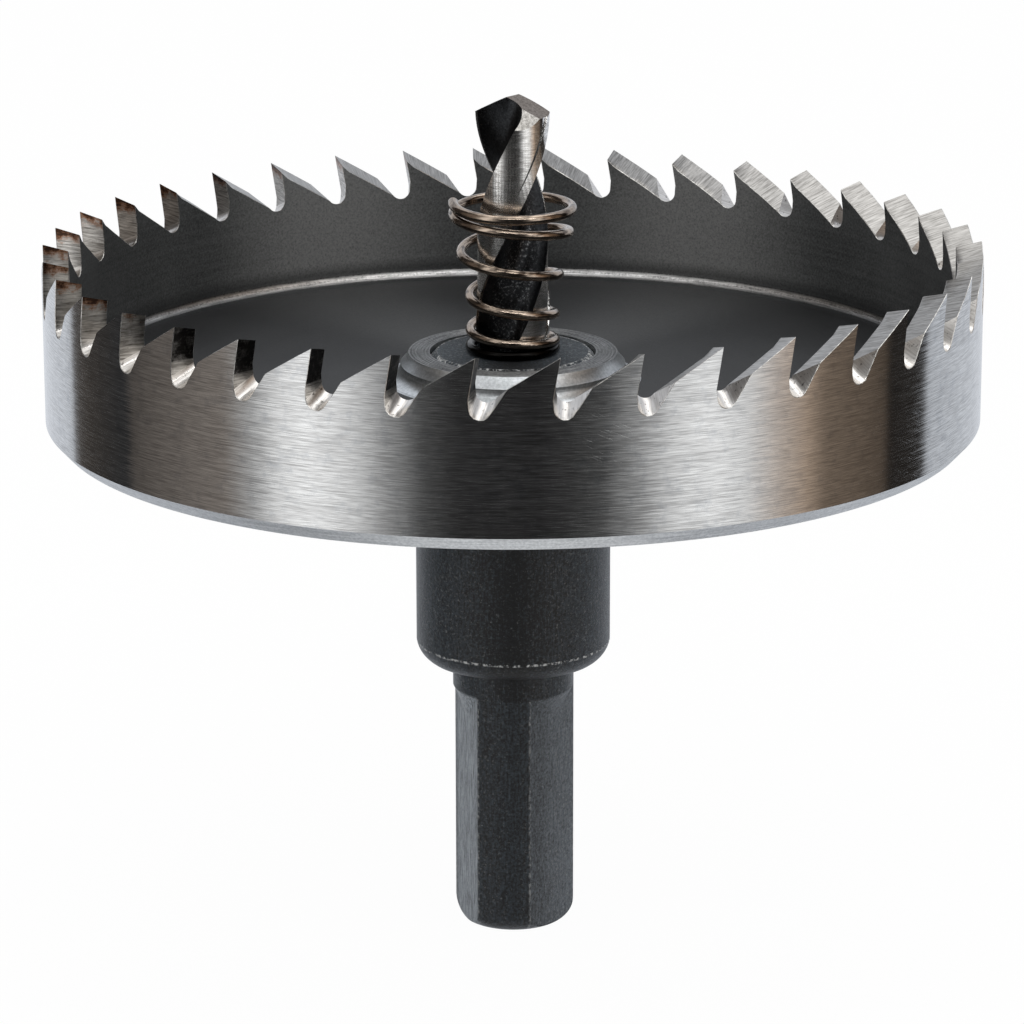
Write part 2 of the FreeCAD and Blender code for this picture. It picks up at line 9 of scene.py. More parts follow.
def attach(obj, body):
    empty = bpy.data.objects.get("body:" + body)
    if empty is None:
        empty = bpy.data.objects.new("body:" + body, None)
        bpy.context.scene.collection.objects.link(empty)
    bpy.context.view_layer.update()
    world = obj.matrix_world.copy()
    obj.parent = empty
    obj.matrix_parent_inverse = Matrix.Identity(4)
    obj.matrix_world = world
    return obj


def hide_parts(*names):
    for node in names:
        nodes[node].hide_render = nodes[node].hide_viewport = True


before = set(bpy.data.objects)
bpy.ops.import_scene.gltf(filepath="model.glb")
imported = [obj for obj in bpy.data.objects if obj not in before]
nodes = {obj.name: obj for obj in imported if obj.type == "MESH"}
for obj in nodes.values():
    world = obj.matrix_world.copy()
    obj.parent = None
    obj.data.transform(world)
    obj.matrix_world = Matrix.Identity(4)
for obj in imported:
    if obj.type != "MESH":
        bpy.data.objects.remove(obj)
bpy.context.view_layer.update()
scene = bpy.context.scene
scene.view_settings.view_transform = "Standard"
mm = 0.001


# Colours and shader nodes. Patterns run on millimetres, so a noise scale of 5 makes grains of 0.2 mm

def linearColour(hexText, share=1.0):
    # sRGB to linear: a straight line up to 0.04045, above it ((c + 0.055) / 1.055) to the power 2.4
    srgb = np.array([int(hexText[at:at + 2], 16) / 255 for at in (0, 2, 4)])
    linear = np.where(srgb <= 0.04045, srgb / 12.92, ((srgb + 0.055) / 1.055) ** 2.4)
    return (*(linear * share).tolist(), 1.0)


def feed(node, inputs):
    # Another node's output is linked, a hex colour is turned to linear, and any other value is set as it is
    for key, value in inputs.items():
        if isinstance(value, bpy.types.NodeSocket):
            node.id_data.links.new(value, node.inputs[key])
        else:
            node.inputs[key].default_value = linearColour(value) if isinstance(value, str) else value


def add(tree, kind, inputs=None, output=0, **settings):
    # Adds one shader node with its settings and links, and gives back one of its outputs
    node = tree.nodes.new("ShaderNode" + kind)
    for name, value in settings.items():
        setattr(node, name, value)
    feed(node, inputs or {})
    return node.outputs[output] if len(node.outputs) else node


def newMaterial(name):
    material = bpy.data.materials.new(name)
    material.use_nodes = True
    tree = material.node_tree
    return material, tree, tree.nodes["Principled BSDF"]


def measure(tree):
    # Object coordinates in mm, with the distance from the axis and the height
    place = add(tree, "TexCoord", output="Object")
    place = add(tree, "VectorMath", {0: place, "Scale": 1 / mm}, operation="SCALE")
    flat = add(tree, "VectorMath", {0: place, 1: (1.0, 1.0, 0.0)}, operation="MULTIPLY")
    radius = add(tree, "VectorMath", {0: flat}, "Value", operation="LENGTH")
    return place, radius, add(tree, "SeparateXYZ", {0: place}, "Z")


def turnRound(tree, place):
    # The angle round the axis in radians, 0 at the front and positive to the right
    right = add(tree, "SeparateXYZ", {0: place}, "X")
    back = add(tree, "SeparateXYZ", {0: place}, "Y")
    front = add(tree, "Math", {0: back, 1: -1.0}, operation="MULTIPLY")
    return add(tree, "Math", {0: right, 1: front}, operation="ARCTAN2")


def turnedGrain(tree, place, radius, height, along, across):
    # Marks that run round the axis: slow along x and y, fast along radius plus height
    level = add(tree, "Math", {0: radius, 1: height}, operation="ADD")
    lift = add(tree, "CombineXYZ", {"Z": add(tree, "Math", {0: level, 1: across}, operation="MULTIPLY")})
    slow = add(tree, "VectorMath", {0: place, 1: (along, along, 0.0)}, operation="MULTIPLY")
    return add(tree, "VectorMath", {0: slow, 1: lift}, operation="ADD")


def crossGrain(tree, radius, height, turn, along, across, lead, tilt):
    # Marks that run through the wall. Along such a mark the arc changes by lead, and the height by tilt,
    # for each mm of radius, so arc + lead r and height + tilt r stay the same
    arc = add(tree, "Math", {0: turn, 1: cupShape["outside"]}, operation="MULTIPLY")
    arc = add(tree, "Math", {0: radius, 1: lead, 2: arc}, operation="MULTIPLY_ADD")
    level = add(tree, "Math", {0: radius, 1: tilt, 2: height}, operation="MULTIPLY_ADD")
    mark = add(tree, "CombineXYZ", {"X": arc, "Y": radius, "Z": level})
    return add(tree, "VectorMath", {0: mark, 1: (along, across, along)}, operation="MULTIPLY")


def leanRound(tree, place, pattern, slope):
    # The surface normal pushed round the axis by a noise from 0.3 to 0.7, and the direction up the surface
    around = add(tree, "VectorMath", {0: (0.0, 0.0, 1.0), 1: place}, operation="CROSS_PRODUCT")
    around = add(tree, "VectorMath", {0: around}, operation="NORMALIZE")
    normal = add(tree, "NewGeometry", output="Normal")
    lean = add(tree, "MapRange", {"Value": pattern, "From Min": 0.3, "From Max": 0.7, "To Min": -slope,
                                  "To Max": slope})
    push = add(tree, "VectorMath", {0: around, "Scale": lean}, operation="SCALE")
    leaning = add(tree, "VectorMath", {0: normal, 1: push}, operation="ADD")
    leaning = add(tree, "VectorMath", {0: leaning}, operation="NORMALIZE")
    return leaning, add(tree, "VectorMath", {0: normal, 1: around}, operation="CROSS_PRODUCT")


def shareOf(tree, *spans, most=1.0):
    # Each span is a pattern with the value where it begins to count and the value where it counts in full.
    # The share is their product, up to the most
    share = most
    for pattern, begin, full in spans:
        part = add(tree, "MapRange", {"Value": pattern, "From Min": begin, "From Max": full})
        share = add(tree, "Math", {0: part, 1: share}, operation="MULTIPLY")
    return share


def layer(tree, below, above, *spans, most=1.0):
    # One colour laid over another by the share of the spans
    share = shareOf(tree, *spans, most=most)
    return add(tree, "Mix", {0: share, 6: below, 7: above}, 2, data_type="RGBA")


# Cup finishes

cupShape = {
    "teeth": 38, "grooves": 6,
    # mm, as the construction model has them
    "outside": 38.0, "inside": 35.9, "bore": 6.77,
    "foot": 42.9, "floor": 46.6, "bossTop": 48.8, "tip": 57.8,
    "boss": 8.5, "bossSide": 8.7, "bossFoot": 9.15, "bossBevel": 0.4, "bossFillet": 1.3,
    "floorFillet": 1.0, "footChamferWide": 1.0, "footChamferTall": 1.1,
    "gulletDepth": 4.72, "gulletRadius": 0.82, "gulletAdvance": 0.33, "rakeDepth": 3.2,
    # degrees
    "phase": 0.556, "rake": 9.5, "flank": 32.4, "bevel": 14.0, "skew": 4.0, "wall": 56.0, "rise": 21.8,
    # mm: rings that close the toothed band, outside and inside the wall, and the grooves of the boss
    "outerBase": 52.4, "innerBase": 53.2,
    "grooveWide": 0.16, "grooveDeep": 0.06,
    "burr": 0.045,                               # worn edge between the ground and the turned faces
    "burrMean": 0.75, "burrSwing": 0.35,         # how much of it there is along the edge
    "burrWaves": (1.7, 0.37), "burrStart": 1.0,  # radians from point to point, and where the slow wave starts
}

polishedWall = {
    "bright": "d8d9d9", "dull": "a0a0a0", "shadeSpan": (0.75, 1.25),
    "streakAlong": 0.24, "streakAcross": 12.0,   # streaks some 4 mm long and 0.08 mm high
    "hairAlong": 0.8, "hairAcross": 22.0,        # hairlines in between
    "slope": 0.010,                              # how far a streak leans sideways
    "smooth": 0.10, "rough": 0.18, "anisotropy": 1.0,
    "scuffTurn": 24, "scuffAlong": 0.5, "scuffAcross": 9.0, "scuffSpan": (0.56, 0.68), "scuffRoughness": 0.34,
    "patch": 0.12, "patchSpan": (0.57, 0.7),
    "stain": "8d9299", "stainGrain": 0.9, "stainSpan": (0.52, 0.75), "stainMost": 0.45,
}


def handlingScuffs(tree, place, height):
    # Hairlines askew to the streaks, in a few patches
    look = polishedWall
    arc = add(tree, "Math", {0: turnRound(tree, place), 1: cupShape["outside"]}, operation="MULTIPLY")
    askew = add(tree, "CombineXYZ", {"X": arc, "Y": height})
    askew = add(tree, "VectorRotate", {"Vector": askew, "Angle": math.radians(look["scuffTurn"])},
                rotation_type="Z_AXIS")
    askew = add(tree, "VectorMath", {0: askew, 1: (look["scuffAlong"], look["scuffAcross"], 1.0)},
                operation="MULTIPLY")
    scuff = add(tree, "TexNoise", {"Vector": askew, "Scale": 1.0, "Detail": 2.0})
    patch = add(tree, "TexNoise", {"Vector": place, "Scale": look["patch"], "Detail": 1.0})
    return shareOf(tree, (scuff, *look["scuffSpan"]), (patch, *look["patchSpan"]))


def makePolishedWall():
    # Tool steel polished on a belt while it turns: mirrors sharply sideways and blurs up and down
    material, tree, shader = newMaterial("polishedWall")
    place, radius, height = measure(tree)
    look = polishedWall
    grain = turnedGrain(tree, place, radius, height, look["streakAlong"], look["streakAcross"])
    streak = add(tree, "TexNoise", {"Vector": grain, "Scale": 1.0, "Detail": 2.0, "Roughness": 0.6})
    hairs = turnedGrain(tree, place, radius, height, look["hairAlong"], look["hairAcross"])
    hair = add(tree, "TexNoise", {"Vector": hairs, "Scale": 1.0, "Detail": 1.0})
    shade = add(tree, "Math", {0: streak, 1: hair}, operation="ADD")
    colour = layer(tree, look["dull"], look["bright"], (shade, *look["shadeSpan"]))
    stain = add(tree, "TexNoise", {"Vector": place, "Scale": look["stainGrain"], "Detail": 4.0,
                                   "Roughness": 0.7})
    colour = layer(tree, colour, look["stain"], (stain, *look["stainSpan"]), most=look["stainMost"])
    low, high = look["shadeSpan"]
    roughness = add(tree, "MapRange", {"Value": shade, "From Min": low, "From Max": high,
                                       "To Min": look["smooth"], "To Max": look["rough"]})
    scuffed = add(tree, "Math", {0: handlingScuffs(tree, place, height), 1: look["scuffRoughness"]},
                  operation="MULTIPLY")
    roughness = add(tree, "Math", {0: roughness, 1: scuffed}, operation="MAXIMUM")
    leaning, up = leanRound(tree, place, streak, look["slope"])
    feed(shader, {"Base Color": colour, "Metallic": 1.0, "Roughness": roughness, "Normal": leaning,
                  "Tangent": up, "Anisotropic": look["anisotropy"]})
    return material


hardenedInside = {
    "grit": 5.5, "cloud": 0.1, "ringAlong": 0.05, "ringAcross": 4.0,
    "cloudShare": 0.45, "ringShare": 0.25, "shadeSpan": (0.66, 1.06),
    "paintedReflection": 153.0, "paintedReflectionReach": (22.0, 2.0),     # degrees from the front, to both sides: where the painted reflection stands and how far it reaches
    "gritSpan": (0.2, 0.8), "paintedReflectionSpan": (0.3, 1.3),
    "paintedShade": "1c1d1e", "paintedShadeSpan": (48.7, 47.7), "paintedShadeMost": 0.6,      # mm of height: painted shade, darker towards the floor
    "roughness": 0.5, "relief": 0.06,
}


def paintedReflectionShare(tree, place, grit):
    # Painted reflection: the scale is painted paler in two places at the back, most where the grit is coarse
    look = hardenedInside
    aside = add(tree, "Math", {0: turnRound(tree, place)}, operation="DEGREES")
    aside = add(tree, "Math", {0: aside}, operation="ABSOLUTE")
    aside = add(tree, "Math", {0: aside, 1: look["paintedReflection"]}, operation="SUBTRACT")
    aside = add(tree, "Math", {0: aside}, operation="ABSOLUTE")
    edge, middle = look["paintedReflectionReach"]
    share = add(tree, "MapRange", {"Value": aside, "From Min": edge, "From Max": middle},
                interpolation_type="SMOOTHSTEP")
    (low, high), (least, most) = look["gritSpan"], look["paintedReflectionSpan"]
    patchy = add(tree, "MapRange", {"Value": grit, "From Min": low, "From Max": high, "To Min": least,
                                    "To Max": most})
    return add(tree, "Math", {0: share, 1: patchy}, operation="MULTIPLY")


def makeHardenedInside(name, dark, light, paintedReflection, specular):
    # Hardening scale left inside the cup: dark grey and satin, with a fine pale grit, a painted reflection in
    # two paler places at the back, and painted shade low down
    material, tree, shader = newMaterial(name)
    place, radius, height = measure(tree)
    look = hardenedInside
    grit = add(tree, "TexNoise", {"Vector": place, "Scale": look["grit"], "Detail": 3.0, "Roughness": 0.7})
    cloud = add(tree, "TexNoise", {"Vector": place, "Scale": look["cloud"], "Detail": 2.0})
    grain = turnedGrain(tree, place, radius, height, look["ringAlong"], look["ringAcross"])
    ring = add(tree, "TexNoise", {"Vector": grain, "Scale": 1.0})
    shade = add(tree, "Math", {0: cloud, 1: look["cloudShare"], 2: grit}, operation="MULTIPLY_ADD")
    shade = add(tree, "Math", {0: ring, 1: look["ringShare"], 2: shade}, operation="MULTIPLY_ADD")
    colour = layer(tree, dark, light, (shade, *look["shadeSpan"]))
    # Painted reflection: the colour turns paler in two places at the back
    colour = add(tree, "Mix", {0: paintedReflectionShare(tree, place, grit), 6: colour, 7: paintedReflection}, 2, data_type="RGBA")
    # Painted shade: the colour darkens from 48.7 mm down to 47.7 mm and stays dark below, on the last of the
    # wall and on the floor
    colour = layer(tree, colour, look["paintedShade"], (height, *look["paintedShadeSpan"]), most=look["paintedShadeMost"])
    bump = add(tree, "Bump", {"Height": grit, "Strength": 0.35, "Distance": look["relief"] * mm})
    feed(shader, {"Base Color": colour, "Roughness": look["roughness"], "Specular IOR Level": specular,
                  "Normal": bump})
    return material


bareFillet = {
    "dark": "8b8b8a", "light": "dddcdb", "shadeSpan": (0.8, 1.2), "scale": "303131",
    "grit": 4.5, "grainAlong": 0.5, "grainAcross": 9.0,
    # mm: height of the painted highlight line, how far it reaches, where the scale is whole, and how far grit
    # shifts both
    "middle": 47.07, "highlightReach": 0.1, "highlightEnd": 0.34, "uneven": 0.3,
    "roughness": 0.3, "relief": 0.08,
}


def makeFilletHighlight():
    # The round between floor and wall, with a painted highlight along it: a thin bright line with ragged
    # edges
    material, tree, shader = newMaterial("bareFillet")
    place, radius, height = measure(tree)
    look = bareFillet
    grit = add(tree, "TexNoise", {"Vector": place, "Scale": look["grit"], "Detail": 3.0, "Roughness": 0.75})
    grain = turnedGrain(tree, place, radius, height, look["grainAlong"], look["grainAcross"])
    grain = add(tree, "TexNoise", {"Vector": grain, "Scale": 1.0})
    shade = add(tree, "Math", {0: grit, 1: grain}, operation="ADD")
    colour = layer(tree, look["dark"], look["light"], (shade, *look["shadeSpan"]))
    away = add(tree, "Math", {0: height, 1: look["middle"]}, operation="SUBTRACT")
    away = add(tree, "Math", {0: away}, operation="ABSOLUTE")
    away = add(tree, "Math", {0: grit, 1: look["uneven"], 2: away}, operation="MULTIPLY_ADD")
    shift = look["uneven"] / 2
    # Beyond the painted highlight line the dark scale closes in, with ragged edges
    colour = layer(tree, colour, look["scale"], (away, look["highlightReach"] + shift, look["highlightEnd"] + shift))
    bump = add(tree, "Bump", {"Height": grit, "Strength": 0.6, "Distance": look["relief"] * mm})
    feed(shader, {"Base Color": colour, "Metallic": 1.0, "Roughness": look["roughness"], "Normal": bump})
    return material


groundTooth = {
    "lineAlong": 7.5, "lineAcross": 0.3,         # grinding lines 0.13 mm apart, through the wall
    "lineSpan": (0.34, 0.66), "roughness": 0.32,
    "pit": "4a4642", "pitGrain": 3.2, "pitSpan": (0.62, 0.68), "pitRelief": 0.08,
    # mm of arc and of height for each mm of radius, along the cut
    "flank": (0.07, -0.249), "gullet": (0.178, 0.4), "rake": (0.178, -0.04),
}
heatAndDarkReflection = {
    # degrees round from the front, positive to the right
    # The first two spans bound the painted dark reflection on the front rake faces, the third the straw heat
    # colour
    "darkReflectionSide": (-58, -45), "darkReflectionEnd": (14, 4), "strawSide": (-44, -56),
    "faceFoot": (54.85, 55.05),                  # mm, where the painted dark reflection ends above the gullet
    "tipReach": (2.4, 0.3),                      # mm below the tip
    "blot": 1.1, "blotShare": 1.3, "lineShare": 0.8,
    "straw": "8c5b36", "strawSpan": (1.62, 1.86), "strawMost": 0.8,
    "scorch": "2a1b15", "scorchSpan": (1.82, 2.04), "scorchMost": 0.9,
    "darkReflection": "201d1b", "darkReflectionSpan": (0.16, 0.5), "darkReflectionMost": 0.95,
}


def addHeatAndDarkReflection(tree, place, height, turn, line, colour):
    # Rake faces painted near black on one side of the rim as a painted dark reflection, and straw with
    # scorched tips beyond
    look = heatAndDarkReflection
    degrees = add(tree, "Math", {0: turn}, operation="DEGREES")
    blot = add(tree, "TexNoise", {"Vector": place, "Scale": look["blot"], "Detail": 4.0, "Roughness": 0.7})
    tip = cupShape["tip"]
    far, near = look["tipReach"]
    heat = shareOf(tree, (height, tip - far, tip - near), (degrees, *look["strawSide"]))
    heat = add(tree, "Math", {0: blot, 1: look["blotShare"], 2: heat}, operation="MULTIPLY_ADD")
    heat = add(tree, "Math", {0: line, 1: look["lineShare"], 2: heat}, operation="MULTIPLY_ADD")
    colour = layer(tree, colour, look["straw"], (heat, *look["strawSpan"]), most=look["strawMost"])
    colour = layer(tree, colour, look["scorch"], (heat, *look["scorchSpan"]), most=look["scorchMost"])
    # Painted dark reflection on the rake faces towards the front
    darkReflection = shareOf(tree, (degrees, *look["darkReflectionSide"]), (degrees, *look["darkReflectionEnd"]),
                    (height, *look["faceFoot"]), most=blot)
    return layer(tree, colour, look["darkReflection"], (darkReflection, *look["darkReflectionSpan"]), most=look["darkReflectionMost"])


def makeGroundTooth(name, cut, dull, bright, slope, pits, withHeatAndReflection=False):
    # High-speed steel ground after hardening: bright, with lines through the wall and a few pits
    material, tree, shader = newMaterial(name)
    place, radius, height = measure(tree)
    turn = turnRound(tree, place)
    look = groundTooth
    grain = crossGrain(tree, radius, height, turn, look["lineAlong"], look["lineAcross"], *look[cut])
    line = add(tree, "TexNoise", {"Vector": grain, "Scale": 1.0, "Detail": 3.0, "Roughness": 0.7})
    colour = layer(tree, dull, bright, (line, *look["lineSpan"]))
    pit = add(tree, "TexNoise", {"Vector": place, "Scale": look["pitGrain"], "Detail": 3.0, "Roughness": 0.6})
    pit = shareOf(tree, (pit, *look["pitSpan"]), most=pits)
    colour = add(tree, "Mix", {0: pit, 6: colour, 7: look["pit"]}, 2, data_type="RGBA")
    # Heat colour, and on the rake faces a painted dark reflection
    if withHeatAndReflection:
        colour = addHeatAndDarkReflection(tree, place, height, turn, line, colour)
    leaning, _ = leanRound(tree, place, line, slope)
    bump = add(tree, "Bump", {"Height": pit, "Strength": -0.3, "Distance": look["pitRelief"] * mm,
                              "Normal": leaning})
    feed(shader, {"Base Color": colour, "Metallic": 1.0, "Roughness": look["roughness"], "Normal": bump})
    return material


turnedSteel = {
    "along": 0.3, "across": 7.0,                 # lathe marks 0.14 mm apart
    "grit": 4.0, "shadeSpan": (0.78, 1.22), "roughness": 0.36, "relief": 0.03,
}


def makeTurnedSteel(name, dull, bright):
    # Steel as the lathe leaves it: satin, with fine circles round the axis
    material, tree, shader = newMaterial(name)
    place, radius, height = measure(tree)
    look = turnedSteel
    grain = turnedGrain(tree, place, radius, height, look["along"], look["across"])
    mark = add(tree, "TexNoise", {"Vector": grain, "Scale": 1.0, "Detail": 3.0, "Roughness": 0.6})
    grit = add(tree, "TexNoise", {"Vector": place, "Scale": look["grit"], "Detail": 3.0, "Roughness": 0.7})
    shade = add(tree, "Math", {0: mark, 1: grit}, operation="ADD")
    colour = layer(tree, dull, bright, (shade, *look["shadeSpan"]))
    bump = add(tree, "Bump", {"Height": mark, "Strength": 0.4, "Distance": look["relief"] * mm})
    feed(shader, {"Base Color": colour, "Metallic": 1.0, "Roughness": look["roughness"], "Normal": bump})
    return material


# The cup as one closed skin of rings, each ring with the same number of points

toothPoints = {"rake": 5, "gullet": 13, "flank": 6}
cupMesh = {
    # the fine gullet curve before it is spaced out, with the reach of its wall in mm
    "roundPoints": 160, "climb": (0.02, 5.0), "climbPoints": 200,
    # mm of arc: where the points of a plain ring stand for tip, rake foot, and both ends of the gullet
    "bunches": (-1.4, -0.8, -0.6, 1.3),
    # shares of the way from a plain ring to the rim, and how many rings cross the wall
    "outerSteps": (0.35, 0.7), "innerSteps": (0.6, 0.25), "throughRings": 5,
    # mm: plain rings that keep the strips even
    "insideWall": 50.5, "filletGap": 0.02, "floor": (33.9, 28.0, 20.0), "bossGap": 0.3, "back": (14.0, 26.0),
    "outsideWall": (47.0, 50.0),
    # points on the rounds of floor and boss, and those of the floor where the painted highlight line begins
    # and ends
    "filletPoints": 9, "bossPoints": 8, "highlightFrom": 1, "highlightTo": 5,
    "crease": 24,           # degrees, past which an edge is sharp
}


def gulletCurve():
    # Tangent point on the round, then the round and the wall opposite the rake face, as across and up.
    # The tangent from the rake foot F to the round C, r leaves at the angle of C - F less asin(r / |C - F|)
    s = cupShape
    rake = math.tan(math.radians(s["rake"]))
    rakeFoot = np.array([-rake * s["rakeDepth"], s["tip"] - s["rakeDepth"]])
    centre = np.array([s["gulletAdvance"], s["tip"] - s["gulletDepth"] + s["gulletRadius"]])
    reach = centre - rakeFoot
    span = np.hypot(*reach)
    slope = math.atan2(reach[1], reach[0]) - math.asin(s["gulletRadius"] / span)
    along = math.sqrt(span ** 2 - s["gulletRadius"] ** 2)
    touch = rakeFoot + along * np.array([math.cos(slope), math.sin(slope)])
    start = math.atan2(*(touch - centre)[::-1]) % (2 * math.pi)
    angle = np.linspace(start, math.radians(270 + s["wall"]), cupMesh["roundPoints"])
    arc = centre + s["gulletRadius"] * np.stack([np.cos(angle), np.sin(angle)], 1)
    climb = np.linspace(*cupMesh["climb"], cupMesh["climbPoints"])[:, None]
    wall = arc[-1] + climb * [math.cos(math.radians(s["wall"])), math.sin(math.radians(s["wall"]))]
    return np.concatenate([arc, wall])


def toothSection(radius):
    # One tooth pitch of the ground rim where it crosses a cylinder, as angles and heights: from the tip down
    # the rake face, round the gullet and up the flank towards the next tip. A cut with the profile point
    # (across, up) meets the cylinder at the depth d with (R - d)^2 + (across + lead d)^2 = radius^2
    s = cupShape
    rake, flank, bevel, skew, rise = (math.tan(math.radians(s[name]))
                                      for name in ("rake", "flank", "bevel", "skew", "rise"))
    outside = s["outside"]
    pitch = 2 * math.pi / s["teeth"]
    gulletLead = skew + rake * (rise + bevel)
    sag = outside * (1 - math.cos(pitch))

    def cutPoint(across, up, lead, climb):
        half = lead * across - outside
        square = 1 + lead ** 2
        depth = (-half - np.sqrt(half ** 2 - square * (outside ** 2 + across ** 2 - radius ** 2))) / square
        return np.arctan2(across + lead * depth, outside - depth), up + climb * depth, depth

    def flankHeight(angle):
        depth = outside - radius * np.cos(angle)
        along = radius * np.sin(angle) - skew * depth
        nextAcross = outside * math.sin(pitch) - skew * sag
        return s["tip"] + bevel * sag + flank * (along - nextAcross) - bevel * depth

    tipAngle, _, tipDepth = cutPoint(0.0, s["tip"], skew, -bevel)
    down = np.linspace((rise + bevel) * tipDepth, s["rakeDepth"], toothPoints["rake"])
    rakeAngle, rakeUp, _ = cutPoint(-rake * down, s["tip"] - down, gulletLead, rise)
    curve = gulletCurve()
    angle, up, _ = cutPoint(curve[:, 0], curve[:, 1], gulletLead, rise)
    over = up - flankHeight(angle)
    lowest = int(np.argmin(over))
    # The gullet ends where its wall comes up through the flank
    above = np.nonzero(over[lowest:] > 0)[0]
    end = lowest + int(above[0]) if len(above) and over[lowest] < 0 else lowest + 1
    share = float(np.clip(-over[end - 1] / (over[end] - over[end - 1]), 0, 1))
    angle = np.append(angle[:end], angle[end - 1] + share * (angle[end] - angle[end - 1]))
    up = np.append(up[:end], up[end - 1] + share * (up[end] - up[end - 1]))
    travel = np.append(0, np.cumsum(np.hypot(np.diff(angle) * radius, np.diff(up))))
    steps = np.linspace(0, travel[-1], toothPoints["gullet"])
    gulletAngle = np.interp(steps, travel, angle)
    gulletUp = np.interp(steps, travel, up)
    flankAngle = np.linspace(gulletAngle[-1], tipAngle + pitch, toothPoints["flank"] + 2)[1:-1]
    return (np.concatenate([rakeAngle, gulletAngle, flankAngle]),
            np.concatenate([rakeUp, gulletUp, flankHeight(flankAngle)]))


def rimRing(radius):
    # The section of one tooth carried round all the teeth
    angle, up = toothSection(radius)
    teeth = cupShape["teeth"]
    starts = np.arange(teeth)[:, None] * 2 * math.pi / teeth
    return (starts + angle).ravel(), np.tile(up, teeth)


def pullBack(radius, angle, up, distance):
    # The ring moved into the steel along the cylinder, square to its own line, with mitred corners that
    # the least value of 0.5 keeps short
    across = angle * radius
    ahead = np.roll(across, -1) - across
    ahead[-1] += 2 * math.pi * radius
    rise = np.roll(up, -1) - up
    length = np.hypot(ahead, rise)
    normal = np.stack([rise / length, -ahead / length])
    before = np.roll(normal, 1, axis=1)
    corner = np.maximum(1 + (normal * before).sum(0), 0.5)
    move = (normal + before) / corner * distance
    return (across + move[0]) / radius, up + move[1]


def bend(middleRadius, middleUp, radius, start, finish, count):
    # Points on a round between two angles in degrees
    angle = np.radians(np.linspace(start, finish, count))
    return [(middleRadius + radius * math.cos(a), middleUp + radius * math.sin(a)) for a in angle]


def bossGrooves():
    # Fine V grooves in the top of the boss, from outside inwards, three quarters of a step from its edges
    s = cupShape
    top, wide = s["bossTop"], s["grooveWide"] / 2
    step = (s["boss"] - s["bore"]) / (s["grooves"] + 0.5)
    middles = s["boss"] - (np.arange(s["grooves"]) + 0.75) * step
    return [(middle + aside, top - deep, "bossRing") for middle in middles.tolist()
            for aside, deep in ((wide, 0.0), (0.0, s["grooveDeep"]), (-wide, 0.0))]


def turnedProfile():
    # The turned part of the cup from inside the wall, over floor, boss and underside, to outside the wall.
    # Each entry is radius, height and the finish of the strip that leads to the next entry
    s, look = cupShape, cupMesh
    inside, outside, floor, fillet = s["inside"], s["outside"], s["floor"], s["floorFillet"]
    filletTop = floor + fillet
    profile = [(inside, up, "insideWall")
               for up in (s["innerBase"], look["insideWall"], filletTop + look["filletGap"])]
    floorRound = bend(inside - fillet, filletTop, fillet, 0, -90, look["filletPoints"])
    for index, (radius, up) in enumerate(floorRound):
        finish = "insideWall" if index < look["highlightFrom"] else "insideFloor"
        # The middle strips of the floor's round carry the painted highlight line
        if look["highlightFrom"] <= index < look["highlightTo"]:
            finish = "bareFillet"
        profile.append((radius, up, finish))
    bossRound = s["bossFoot"] + s["bossFillet"]
    profile += [(radius, floor, "insideFloor") for radius in (*look["floor"], bossRound + look["bossGap"])]
    profile += [(radius, up, "turnedBoss") for radius, up in
                bend(bossRound, floor + s["bossFillet"], s["bossFillet"], 270, 180, look["bossPoints"])]
    profile += [(s["bossSide"], s["bossTop"] - s["bossBevel"], "turnedBoss"),
                (s["boss"], s["bossTop"], "bossRing")]
    profile += bossGrooves()
    profile += [(s["bore"], s["bossTop"], "turnedBack")]
    profile += [(radius, s["foot"], "turnedBack") for radius in (s["bore"], *look["back"])]
    profile += [(outside - s["footChamferWide"], s["foot"], "turnedChamfer")]
    profile += [(outside, up, "polishedWall")
                for up in (s["foot"] + s["footChamferTall"], *look["outsideWall"], s["outerBase"])]
    return profile


def cupRings():
    # The rings of the closed skin, each as angles, radius, heights and the finish of the strip that follows:
    # up outside the wall to the rim, through the wall, down inside it and back along the turned profile
    s = cupShape
    teeth, perTooth = s["teeth"], sum(toothPoints.values())
    count = teeth * perTooth
    # Plain rings have their points bunched so that each lies near the tooth point above it
    pitch = 2 * math.pi / teeth
    rake, gullet = toothPoints["rake"], toothPoints["gullet"]
    tip, rakeFoot, gulletStart, gulletEnd = np.array(cupMesh["bunches"]) / s["outside"]
    bunched = np.interp(np.arange(perTooth), [0, rake - 1, rake, rake + gullet - 1, perTooth],
                        [tip, rakeFoot, gulletStart, gulletEnd, tip + pitch])
    plain = (np.arange(teeth)[:, None] * pitch + bunched).ravel()
    point = np.arange(count)
    fast, slow = s["burrWaves"]
    wave = np.sin(point * fast) * np.sin(point * slow + s["burrStart"])
    burr = s["burr"] * (s["burrMean"] + s["burrSwing"] * wave)
    rings = []

    def addRing(angle, radius, up, finish):
        rings.append((angle, np.full(count, radius), np.broadcast_to(up, count), finish))

    def addSteps(rim, radius, base, shares, finish):
        # Rings part of the way from a plain ring to the toothed rim
        for share in shares:
            addRing(plain + share * (rim[0] - plain), radius, base + share * (rim[1] - base), finish)

    outerRim = pullBack(s["outside"], *rimRing(s["outside"]), burr)
    innerRim = pullBack(s["inside"], *rimRing(s["inside"]), burr)
    addSteps(outerRim, s["outside"], s["outerBase"], cupMesh["outerSteps"], "polishedWall")
    addRing(outerRim[0], s["outside"], outerRim[1], "wornEdge")
    for radius in np.linspace(s["outside"] - s["burr"], s["inside"] + s["burr"], cupMesh["throughRings"]):
        angle, up = rimRing(radius)
        addRing(angle, radius, up, "ground")
    rings[-1] = (*rings[-1][:3], "wornEdge")
    addRing(innerRim[0], s["inside"], innerRim[1], "insideWall")
    addSteps(innerRim, s["inside"], s["innerBase"], cupMesh["innerSteps"], "insideWall")
    for radius, up, finish in turnedProfile():
        addRing(plain, radius, up, finish)
    return rings


